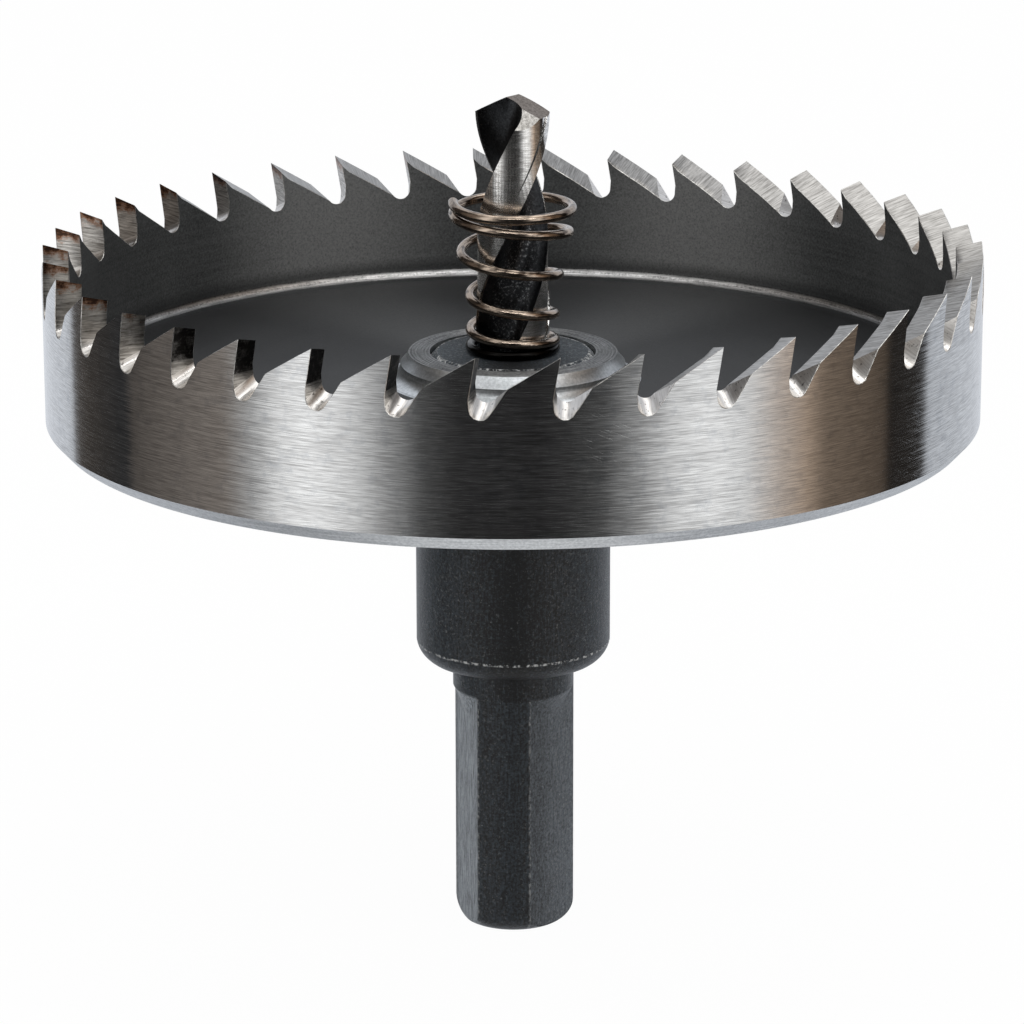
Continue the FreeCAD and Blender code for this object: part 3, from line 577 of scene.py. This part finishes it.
def cupFinishes():
    # In the order of the material slots
    return {
        "polishedWall": makePolishedWall(),
        "wornEdge": makeTurnedSteel("wornEdge", "8f8d8a", "e4e2de"),
        # The rake faces take heat colour and a painted dark reflection
        "groundRake": makeGroundTooth("groundRake", "rake", "7a7671", "dedbd6", slope=0.035, pits=0.2,
                                      withHeatAndReflection=True),
        "groundGullet": makeGroundTooth("groundGullet", "gullet", "c4c0bb", "e8e5e1", slope=0.06, pits=0.8),
        "groundFlank": makeGroundTooth("groundFlank", "flank", "7d7b78", "b3b1ae", slope=0.05, pits=0.15),
        # The third colour of each is the colour of the painted reflection
        "insideWall": makeHardenedInside("insideWall", "303131", "525353", "787877", specular=0.22),
        # Painted shade: the floor is given darker colours of the same scale, for the bottom of the cup
        "insideFloor": makeHardenedInside("insideFloor", "1b1c1d", "3a3b3c", "5c5d5d", specular=0.26),
        # The painted highlight line in the round between floor and wall
        "bareFillet": makeFilletHighlight(),
        "turnedBoss": makeTurnedSteel("turnedBoss", "a8acae", "d4d7d9"),
        "bossRing": makeTurnedSteel("bossRing", "454646", "838382"),
        "turnedBack": makeTurnedSteel("turnedBack", "7c7e80", "a4a6a8"),
        "turnedChamfer": makeTurnedSteel("turnedChamfer", "b0b3b5", "dcdedf"),
    }


def makeCup():
    # A point of a ring is at r cos a, r sin a and its height, with r the ring's radius and a its own angle.
    # Strips join each ring to the next, and the last strip joins the last ring to the first
    rings = cupRings()
    angle = np.stack([ring[0] for ring in rings]) + math.radians(cupShape["phase"])
    radius = np.stack([ring[1] for ring in rings])
    up = np.stack([ring[2] for ring in rings])
    points = np.stack([radius * np.cos(angle), radius * np.sin(angle), up], -1).reshape(-1, 3) * mm
    count = angle.shape[1]
    row = np.arange(len(rings))[:, None]
    column = np.arange(count)[None, :]
    nextRow = (row + 1) % len(rings)
    nextColumn = (column + 1) % count
    faces = np.stack([row * count + column, row * count + nextColumn, nextRow * count + nextColumn,
                      nextRow * count + column], -1).reshape(-1, 4)

    materials = cupFinishes()
    finishes = list(materials)
    rake, gullet = toothPoints["rake"], toothPoints["gullet"]
    withinTooth = column[0] % sum(toothPoints.values())
    groundFinish = np.where(withinTooth < rake, finishes.index("groundRake"),
                            np.where(withinTooth < rake + gullet - 1, finishes.index("groundGullet"),
                                     finishes.index("groundFlank")))
    slots = np.stack([groundFinish if ring[3] == "ground" else np.full(count, finishes.index(ring[3]))
                      for ring in rings]).ravel()
    mesh = bpy.data.meshes.new("sawCupSkin")
    mesh.from_pydata(points.tolist(), [], faces.tolist())
    for material in materials.values():
        mesh.materials.append(material)
    mesh.polygons.foreach_set("material_index", slots.astype(np.int32))
    mesh.polygons.foreach_set("use_smooth", np.ones(len(faces), dtype=bool))
    mesh.set_sharp_from_angle(angle=math.radians(cupMesh["crease"]))
    mesh.update()
    cup = bpy.data.objects.new("sawCupSkin", mesh)
    scene.collection.objects.link(cup)
    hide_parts("saw_cup")
    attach(cup, "root")
    print("cup made", len(faces), "faces")


# Finishes of the pieces that keep their construction shape

blackOxide = {
    "dark": "090b0e", "light": "39424a", "shadeSpan": (0.8, 1.16),
    "flatDark": "24282c", "flatLight": "6c737a", "flatSpan": (0.8, 1.22),
    "grit": 4.2, "relief": 0.1, "scratch": (8.0, 8.0, 0.6), "scratchShare": 0.5,
    "sideLightAndShankGrey": 0.32, "shankGrey": 0.45,         # painted side light makes the hub paler towards its left and right, and the shank is greyer all round
    # top of the flats in mm, and the rest in degrees round the shank
    "flats": 3, "flatTop": 20.3, "flatPhase": 50.0, "flatHalf": 34.1, "flatBlur": 0.5, "flatEdge": 1.3,
    "flatWorn": 0.35,                            # how much of their edges is rubbed
    # the flat that the chuck has scratched, in degrees from the front
    "gripped": -68.0, "grippedHalf": 30.0, "gripMark": "a0a8ae", "gripSpan": (0.42, 0.62), "gripMost": 0.85,
    # radius and height of the edges that are rubbed bare, and how far the rubbing reaches, in mm
    "rubbed": ((8.0, 24.4, 0.1), (6.5, 48.55, 0.36)),
    "worn": "b9bab9", "speck": 2.6, "speckSpan": (0.49, 0.6),
    "dot": 4.4, "dotSideLight": 0.07, "dotSpan": (0.59, 0.76), "dotMost": 0.4,
    "roughness": 0.36, "spigotRoughness": 0.75, "spigotSpan": (46.3, 46.8), "specular": 0.42,
}


def shankFlats(tree, turn, below):
    # The angle from the middle of the nearest flat in degrees, and the share that lies on a flat
    look = blackOxide
    degrees = add(tree, "Math", {0: turn}, operation="DEGREES")
    degrees = add(tree, "Math", {0: degrees, 1: look["flatPhase"]}, operation="SUBTRACT")
    fromFlat = add(tree, "Math", {0: degrees, 1: 180 / look["flats"]}, operation="PINGPONG")
    half, blur = look["flatHalf"], look["flatBlur"]
    return fromFlat, shareOf(tree, (fromFlat, half + blur, half - blur), most=below)


def wornPlacesAndSideLight(tree, place, radius, height, sideLight, fromFlat, below):
    # Bare steel in specks along the edges of the flats and on the rubbed edges, and in tiny dots all over,
    # more of them towards the left and right as painted side light
    look = blackOxide
    worn = add(tree, "Math", {0: fromFlat, 1: look["flatHalf"], 2: look["flatEdge"]}, operation="COMPARE")
    worn = add(tree, "Math", {0: worn, 1: below}, operation="MULTIPLY")
    worn = add(tree, "Math", {0: worn, 1: look["flatWorn"]}, operation="MULTIPLY")
    for edgeRadius, edgeHeight, reach in look["rubbed"]:
        nearRadius = add(tree, "Math", {0: radius, 1: edgeRadius, 2: reach}, operation="COMPARE")
        nearHeight = add(tree, "Math", {0: height, 1: edgeHeight, 2: reach}, operation="COMPARE")
        near = add(tree, "Math", {0: nearRadius, 1: nearHeight}, operation="MULTIPLY")
        worn = add(tree, "Math", {0: near, 1: worn}, operation="MAXIMUM")
    speck = add(tree, "TexNoise", {"Vector": place, "Scale": look["speck"], "Detail": 4.0, "Roughness": 0.75})
    worn = shareOf(tree, (speck, *look["speckSpan"]), most=worn)
    dot = add(tree, "TexNoise", {"Vector": place, "Scale": look["dot"], "Detail": 5.0, "Roughness": 0.85})
    # More dots towards the left and right: painted side light
    dot = add(tree, "Math", {0: sideLight, 1: look["dotSideLight"], 2: dot}, operation="MULTIPLY_ADD")
    dot = shareOf(tree, (dot, *look["dotSpan"]), most=look["dotMost"])
    return add(tree, "Math", {0: worn, 1: dot}, operation="MAXIMUM")


def makeBlackOxide():
    # Tool steel blackened in a hot bath: nearly black with pale grit, greyer flats and edges rubbed bare, and
    # painted side light that greys it towards its left and right
    material, tree, shader = newMaterial("blackOxide")
    place, radius, height = measure(tree)
    turn = turnRound(tree, place)
    look = blackOxide
    grit = add(tree, "TexNoise", {"Vector": place, "Scale": look["grit"], "Detail": 4.0, "Roughness": 0.75})
    long = add(tree, "VectorMath", {0: place, 1: look["scratch"]}, operation="MULTIPLY")
    scratch = add(tree, "TexNoise", {"Vector": long, "Scale": 1.0, "Detail": 3.0, "Roughness": 0.7})
    shade = add(tree, "Math", {0: scratch, 1: look["scratchShare"], 2: grit}, operation="MULTIPLY_ADD")
    below = add(tree, "Math", {0: height, 1: look["flatTop"]}, operation="LESS_THAN")
    # Painted side light: the hub is painted paler as it turns away to the left and right
    sideLight = add(tree, "Math", {0: add(tree, "Math", {0: turn}, operation="SINE")}, operation="ABSOLUTE")
    shankGreyOrSideLight = add(tree, "Math", {0: below, 1: look["shankGrey"]}, operation="MULTIPLY")
    shankGreyOrSideLight = add(tree, "Math", {0: sideLight, 1: shankGreyOrSideLight}, operation="MAXIMUM")
    shade = add(tree, "Math", {0: shankGreyOrSideLight, 1: look["sideLightAndShankGrey"], 2: shade}, operation="MULTIPLY_ADD")
    colour = layer(tree, look["dark"], look["light"], (shade, *look["shadeSpan"]))
    flat = layer(tree, look["flatDark"], look["flatLight"], (shade, *look["flatSpan"]))
    fromFlat, onFlat = shankFlats(tree, turn, below)
    colour = add(tree, "Mix", {0: onFlat, 6: colour, 7: flat}, 2, data_type="RGBA")
    gripped = add(tree, "Math", {0: add(tree, "Math", {0: turn}, operation="DEGREES"), 1: look["gripped"],
                                 2: look["grippedHalf"]}, operation="COMPARE")
    gripped = add(tree, "Math", {0: gripped, 1: onFlat}, operation="MULTIPLY")
    gripped = add(tree, "Math", {0: gripped, 1: look["gripMost"]}, operation="MULTIPLY")
    colour = layer(tree, colour, look["gripMark"], (scratch, *look["gripSpan"]), most=gripped)
    worn = wornPlacesAndSideLight(tree, place, radius, height, sideLight, fromFlat, below)
    colour = add(tree, "Mix", {0: worn, 6: colour, 7: look["worn"]}, 2, data_type="RGBA")
    bump = add(tree, "Bump", {"Height": grit, "Strength": 0.8, "Distance": look["relief"] * mm})
    start, end = look["spigotSpan"]
    roughness = add(tree, "MapRange", {"Value": height, "From Min": start, "From Max": end,
                                       "To Min": look["roughness"], "To Max": look["spigotRoughness"]})
    feed(shader, {"Base Color": colour, "Roughness": roughness, "Specular IOR Level": look["specular"],
                  "Normal": bump})
    return material


groundDrill = {
    "dull": "c2c0bd", "bright": "eeedeb", "brightSpan": (0.35, 0.65),
    "flute": "28292b", "fluteLight": "505255", "fluteSpan": (0.3, 0.8),
    # flecks of light in the bottom of the flutes: pattern, mm from the axis and mm of height
    "glint": "9b9d9f", "glintSpan": (0.56, 0.66), "glintReach": (2.2, 1.6), "glintTop": (63.5, 61.5),
    "flankDull": "6e655d", "flank": "958b82", "notchDull": "8f8c87", "notch": "cfccc7",
    "pointSpan": (0.38, 0.62),
    "facingNotch": (0.52, 0.56), "facingFlank": (0.78, 0.82),    # how far a ground face of the point looks up
    "landSpan": (2.80, 2.84),                    # mm: what lies nearer the axis is a flute
    "ringAlong": 1.2, "ringAcross": 9.0, "grit": 4.5, "lean": 0.015,
    "roughness": 0.14, "fluteRoughness": 0.36, "anisotropy": 0.9,
    "fluteBump": 0.35, "groundBump": 0.03, "relief": 0.12,
}


def makeGroundDrill():
    # High-speed steel drill: bright lands ground round and round, black rolled flutes, and a ground point
    material, tree, shader = newMaterial("groundDrill")
    place, radius, height = measure(tree)
    look = groundDrill
    grain = turnedGrain(tree, place, radius, height, look["ringAlong"], look["ringAcross"])
    ring = add(tree, "TexNoise", {"Vector": grain, "Scale": 1.0, "Detail": 2.0})
    rough = add(tree, "TexNoise", {"Vector": place, "Scale": look["grit"], "Detail": 4.0, "Roughness": 0.75})
    bright = layer(tree, look["dull"], look["bright"], (ring, *look["brightSpan"]))
    dark = layer(tree, look["flute"], look["fluteLight"], (rough, *look["fluteSpan"]))
    dark = layer(tree, dark, look["glint"], (rough, *look["glintSpan"]), (radius, *look["glintReach"]),
                 (height, *look["glintTop"]))
    land = shareOf(tree, (radius, *look["landSpan"]))
    colour = add(tree, "Mix", {0: land, 6: dark, 7: bright}, 2, data_type="RGBA")
    # The faces of the point are told by how far they look up
    facing = add(tree, "SeparateXYZ", {0: add(tree, "TexCoord", output="Normal")}, "Z")
    notched = shareOf(tree, (facing, *look["facingNotch"]))
    notch = layer(tree, look["notchDull"], look["notch"], (rough, *look["pointSpan"]))
    flank = layer(tree, look["flankDull"], look["flank"], (rough, *look["pointSpan"]))
    colour = add(tree, "Mix", {0: notched, 6: colour, 7: notch}, 2, data_type="RGBA")
    colour = layer(tree, colour, flank, (facing, *look["facingFlank"]))
    ground = add(tree, "Math", {0: land, 1: notched}, operation="MAXIMUM")
    roughness = add(tree, "MapRange", {"Value": ground, "To Min": look["fluteRoughness"],
                                       "To Max": look["roughness"]})
    strength = add(tree, "MapRange", {"Value": ground, "To Min": look["fluteBump"],
                                      "To Max": look["groundBump"]})
    leaning, up = leanRound(tree, place, ring, look["lean"])
    bump = add(tree, "Bump", {"Height": rough, "Strength": strength, "Distance": look["relief"] * mm,
                              "Normal": leaning})
    feed(shader, {"Base Color": colour, "Metallic": 1.0, "Roughness": roughness, "Normal": bump,
                  "Tangent": up, "Anisotropic": look["anisotropy"]})
    return material


springWire = {
    "bronze": "ad9d8e", "brown": "3a312a", "shadeSpan": (0.72, 1.12),
    "cloud": 0.9, "drawnAlong": 0.6, "drawnAcross": 9.0,
    "seated": "141312", "seatShadowSpan": (49.85, 49.65),                # mm of height
    "roughness": 0.15, "relief": 0.02,
}


def makeSpringWire():
    # Oil-tempered wire: a bronze skin with darker drawn patches, and a painted shadow, near black, where it
    # sits
    material, tree, shader = newMaterial("springWire")
    place, radius, height = measure(tree)
    look = springWire
    cloud = add(tree, "TexNoise", {"Vector": place, "Scale": look["cloud"], "Detail": 4.0, "Roughness": 0.65})
    grain = turnedGrain(tree, place, radius, height, look["drawnAlong"], look["drawnAcross"])
    fine = add(tree, "TexNoise", {"Vector": grain, "Scale": 1.0, "Detail": 2.0})
    shade = add(tree, "Math", {0: cloud, 1: fine}, operation="ADD")
    colour = layer(tree, look["brown"], look["bronze"], (shade, *look["shadeSpan"]))
    # Painted shadow on the lowest coil, where it sits on the arbor
    colour = layer(tree, colour, look["seated"], (height, *look["seatShadowSpan"]))
    bump = add(tree, "Bump", {"Height": fine, "Strength": 0.2, "Distance": look["relief"] * mm})
    feed(shader, {"Base Color": colour, "Metallic": 1.0, "Roughness": look["roughness"], "Normal": bump})
    return material


def dressNodes():
    # The pieces that keep their construction meshes get their finishes
    finishes = {
        "arbor": makeBlackOxide(),
        "pilot_drill": makeGroundDrill(),
        "ejector_spring": makeSpringWire(),
        "set_screw": makeTurnedSteel("blackScrew", "2c2d2f", "4a4b4d"),
    }
    for name, material in finishes.items():
        nodes[name].data.materials.clear()
        nodes[name].data.materials.append(material)
    print("nodes dressed")


# Studio: a white room, and a tent of pale cloth and dark flags round the saw

studio = {
    "radius": 0.7, "low": -2.6, "high": 1.3, "sides": 96,     # metres; the tent is open above and below
    "fadeHigh": (1.0, 1.3), "fadeLow": (-2.2, -2.6),
    "tints": {"cloth": "ffffff", "daylight": "e3e7ee", "dusk": "fff1e6", "warm": "ffe2c8"},
    # Degrees round the saw from the camera, positive to the right, with tint and strength
    "ring": [
        (-150, "daylight", 1.02),
        (-131.6, "daylight", 1.02),
        (-131.0, "dusk", 0.11),
        (-121, "dusk", 0.07),
        (-103.6, "daylight", 0.05),
        (-102.4, "dusk", 0.12),
        (-84, "dusk", 0.22),
        (-71, "dusk", 0.29),
        (-63, "cloth", 0.56),
        (-56, "cloth", 1.22),
        (-47, "cloth", 1.42),
        (-38, "cloth", 1.05),
        (-30, "cloth", 0.48),
        (-21, "cloth", 0.105),
        (-13, "cloth", 0.037),
        (6, "cloth", 0.030),
        (14, "cloth", 0.058),
        (21, "cloth", 0.108),
        (29, "cloth", 0.42),
        (38, "cloth", 1.05),
        (47, "cloth", 1.30),
        (56, "cloth", 1.08),
        (64, "dusk", 0.76),
        (73, "warm", 0.57),
        (78, "warm", 0.25),
        (98.4, "warm", 0.14),
        (99.2, "dusk", 0.03),
        (116.0, "dusk", 0.04),
        (116.8, "daylight", 0.92),
        (150, "daylight", 0.96),
    ],
    "room": 0.75,           # what the white room gives to dull surfaces
    "floor": 3.0, "floorPaint": "f4f4f4",
    "floorGlow": 0.97,      # how much of the floor's white is seen straight
}


def seenStraight(tree):
    # 1 for what the camera sees directly, in mirrors or through glass
    seen = add(tree, "LightPath", output="Is Camera Ray")
    for ray in ("Is Glossy Ray", "Is Transmission Ray"):
        seen = add(tree, "Math", {0: seen, 1: add(tree, "LightPath", output=ray)}, operation="MAXIMUM")
    return seen


def makeRoom():
    # White to the camera and in mirrors, and a plain level for everything else
    world = bpy.data.worlds.new("room")
    scene.world = world
    world.use_nodes = True
    tree = world.node_tree
    tree.nodes.clear()
    strength = add(tree, "MapRange", {"Value": seenStraight(tree), "To Min": studio["room"], "To Max": 1.0})
    white = add(tree, "Background", {"Color": "ffffff", "Strength": strength})
    add(tree, "OutputWorld", {"Surface": white})


def makeTentCloth():
    # Cloth that glows by the angle of each place round the saw, and fades to white at its top and bottom
    material, tree, shader = newMaterial("tentCloth")
    tree.nodes.remove(shader)
    place = add(tree, "TexCoord", output="Object")
    turn = add(tree, "MapRange", {"Value": turnRound(tree, place), "From Min": -math.pi, "From Max": math.pi})
    colour = add(tree, "ValToRGB", {"Fac": turn}, "Color")
    stops = colour.node.color_ramp.elements
    while len(stops) < len(studio["ring"]):
        stops.new(0.5)
    for stop, (angle, tint, strength) in zip(stops, studio["ring"]):
        stop.position = (angle + 180) / 360
        stop.color = linearColour(studio["tints"][tint], strength)
    height = add(tree, "SeparateXYZ", {0: place}, "Z")
    for span in (studio["fadeHigh"], studio["fadeLow"]):
        colour = layer(tree, colour, "ffffff", (height, *span))
    feed(tree.nodes["Material Output"], {"Surface": add(tree, "Emission", {"Color": colour})})
    return material


def makeTent():
    # An open tube that only mirrors see: the points of a ring, at its low and at its high edge
    sides = studio["sides"]
    angle = np.arange(sides) * 2 * math.pi / sides
    ring = np.stack([np.sin(angle), -np.cos(angle), np.zeros(sides)], 1) * studio["radius"]
    points = np.concatenate([ring + [0, 0, studio["low"]], ring + [0, 0, studio["high"]]])
    at = np.arange(sides)
    after = (at + 1) % sides
    mesh = bpy.data.meshes.new("tent")
    mesh.from_pydata(points.tolist(), [], np.stack([at, after, after + sides, at + sides], 1).tolist())
    mesh.materials.append(makeTentCloth())
    tent = bpy.data.objects.new("tent", mesh)
    scene.collection.objects.link(tent)
    tent.visible_camera = False
    tent.visible_diffuse = False
    tent.visible_shadow = False


def makeFloor():
    # A white floor under the shank end that keeps a soft shadow
    size = studio["floor"]
    mesh = bpy.data.meshes.new("floor")
    corners = [(-size, -size, 0), (size, -size, 0), (size, size, 0), (-size, size, 0)]
    mesh.from_pydata(corners, [], [(0, 1, 2, 3)])
    floor = bpy.data.objects.new("floor", mesh)
    scene.collection.objects.link(floor)
    material, tree, shader = newMaterial("whiteFloor")
    share = add(tree, "Math", {0: seenStraight(tree), 1: studio["floorGlow"]}, operation="MULTIPLY")
    paint = add(tree, "BsdfDiffuse", {"Color": studio["floorPaint"]})
    glow = add(tree, "Emission", {"Color": "ffffff"})
    feed(tree.nodes["Material Output"], {"Surface": add(tree, "MixShader", {0: share, 1: paint, 2: glow})})
    tree.nodes.remove(shader)
    mesh.materials.append(material)
    floor.visible_glossy = False
    print("room, tent and floor made")


lamps = {
    # place and aim in mm, width and height in mm, watts
    "topLamp": {"place": (60, 120, 560), "aim": (0, 0, 55), "size": (420, 420), "watts": 0.55},
    "stripLamp": {"place": (60, -330, 400), "aim": (0, 0, 55), "size": (500, 60), "watts": 0.5},
}


def makeLamps():
    # Soft boxes above and in front, each turned to its aim
    for name, lamp in lamps.items():
        light = bpy.data.lights.new(name, "AREA")
        light.shape = "RECTANGLE"
        light.size = lamp["size"][0] * mm
        light.size_y = lamp["size"][1] * mm
        light.energy = lamp["watts"]
        holder = bpy.data.objects.new(name, light)
        scene.collection.objects.link(holder)
        place = Vector(lamp["place"]) * mm
        holder.location = place
        holder.rotation_euler = (Vector(lamp["aim"]) * mm - place).to_track_quat("-Z", "Y").to_euler()


cameraView = {
    "place": (-0.14, -376.62, 143.70),   # mm, from the middle of the shank end
    "pitch": 16.078,                     # degrees downwards
    "yaw": -0.008,
    "roll": -0.09,
    "lens": 167.66, "sensor": 36.0,      # mm
    "clip": (0.01, 20.0),                # metres
}


def makeCamera():
    # Stands level and looks along +Y before it is rolled, pitched down and yawed
    data = bpy.data.cameras.new("camera")
    data.lens = cameraView["lens"]
    data.sensor_width = cameraView["sensor"]
    data.clip_start, data.clip_end = cameraView["clip"]
    camera = bpy.data.objects.new("camera", data)
    scene.collection.objects.link(camera)
    turn = (Matrix.Rotation(math.radians(cameraView["yaw"]), 4, "Z")
            @ Matrix.Rotation(math.radians(90 - cameraView["pitch"]), 4, "X")
            @ Matrix.Rotation(math.radians(cameraView["roll"]), 4, "Z"))
    camera.matrix_world = Matrix.Translation(Vector(cameraView["place"]) * mm) @ turn
    scene.camera = camera
    print("camera made")


makeCup()
dressNodes()
makeRoom()
makeTent()
makeFloor()
makeLamps()
makeCamera()
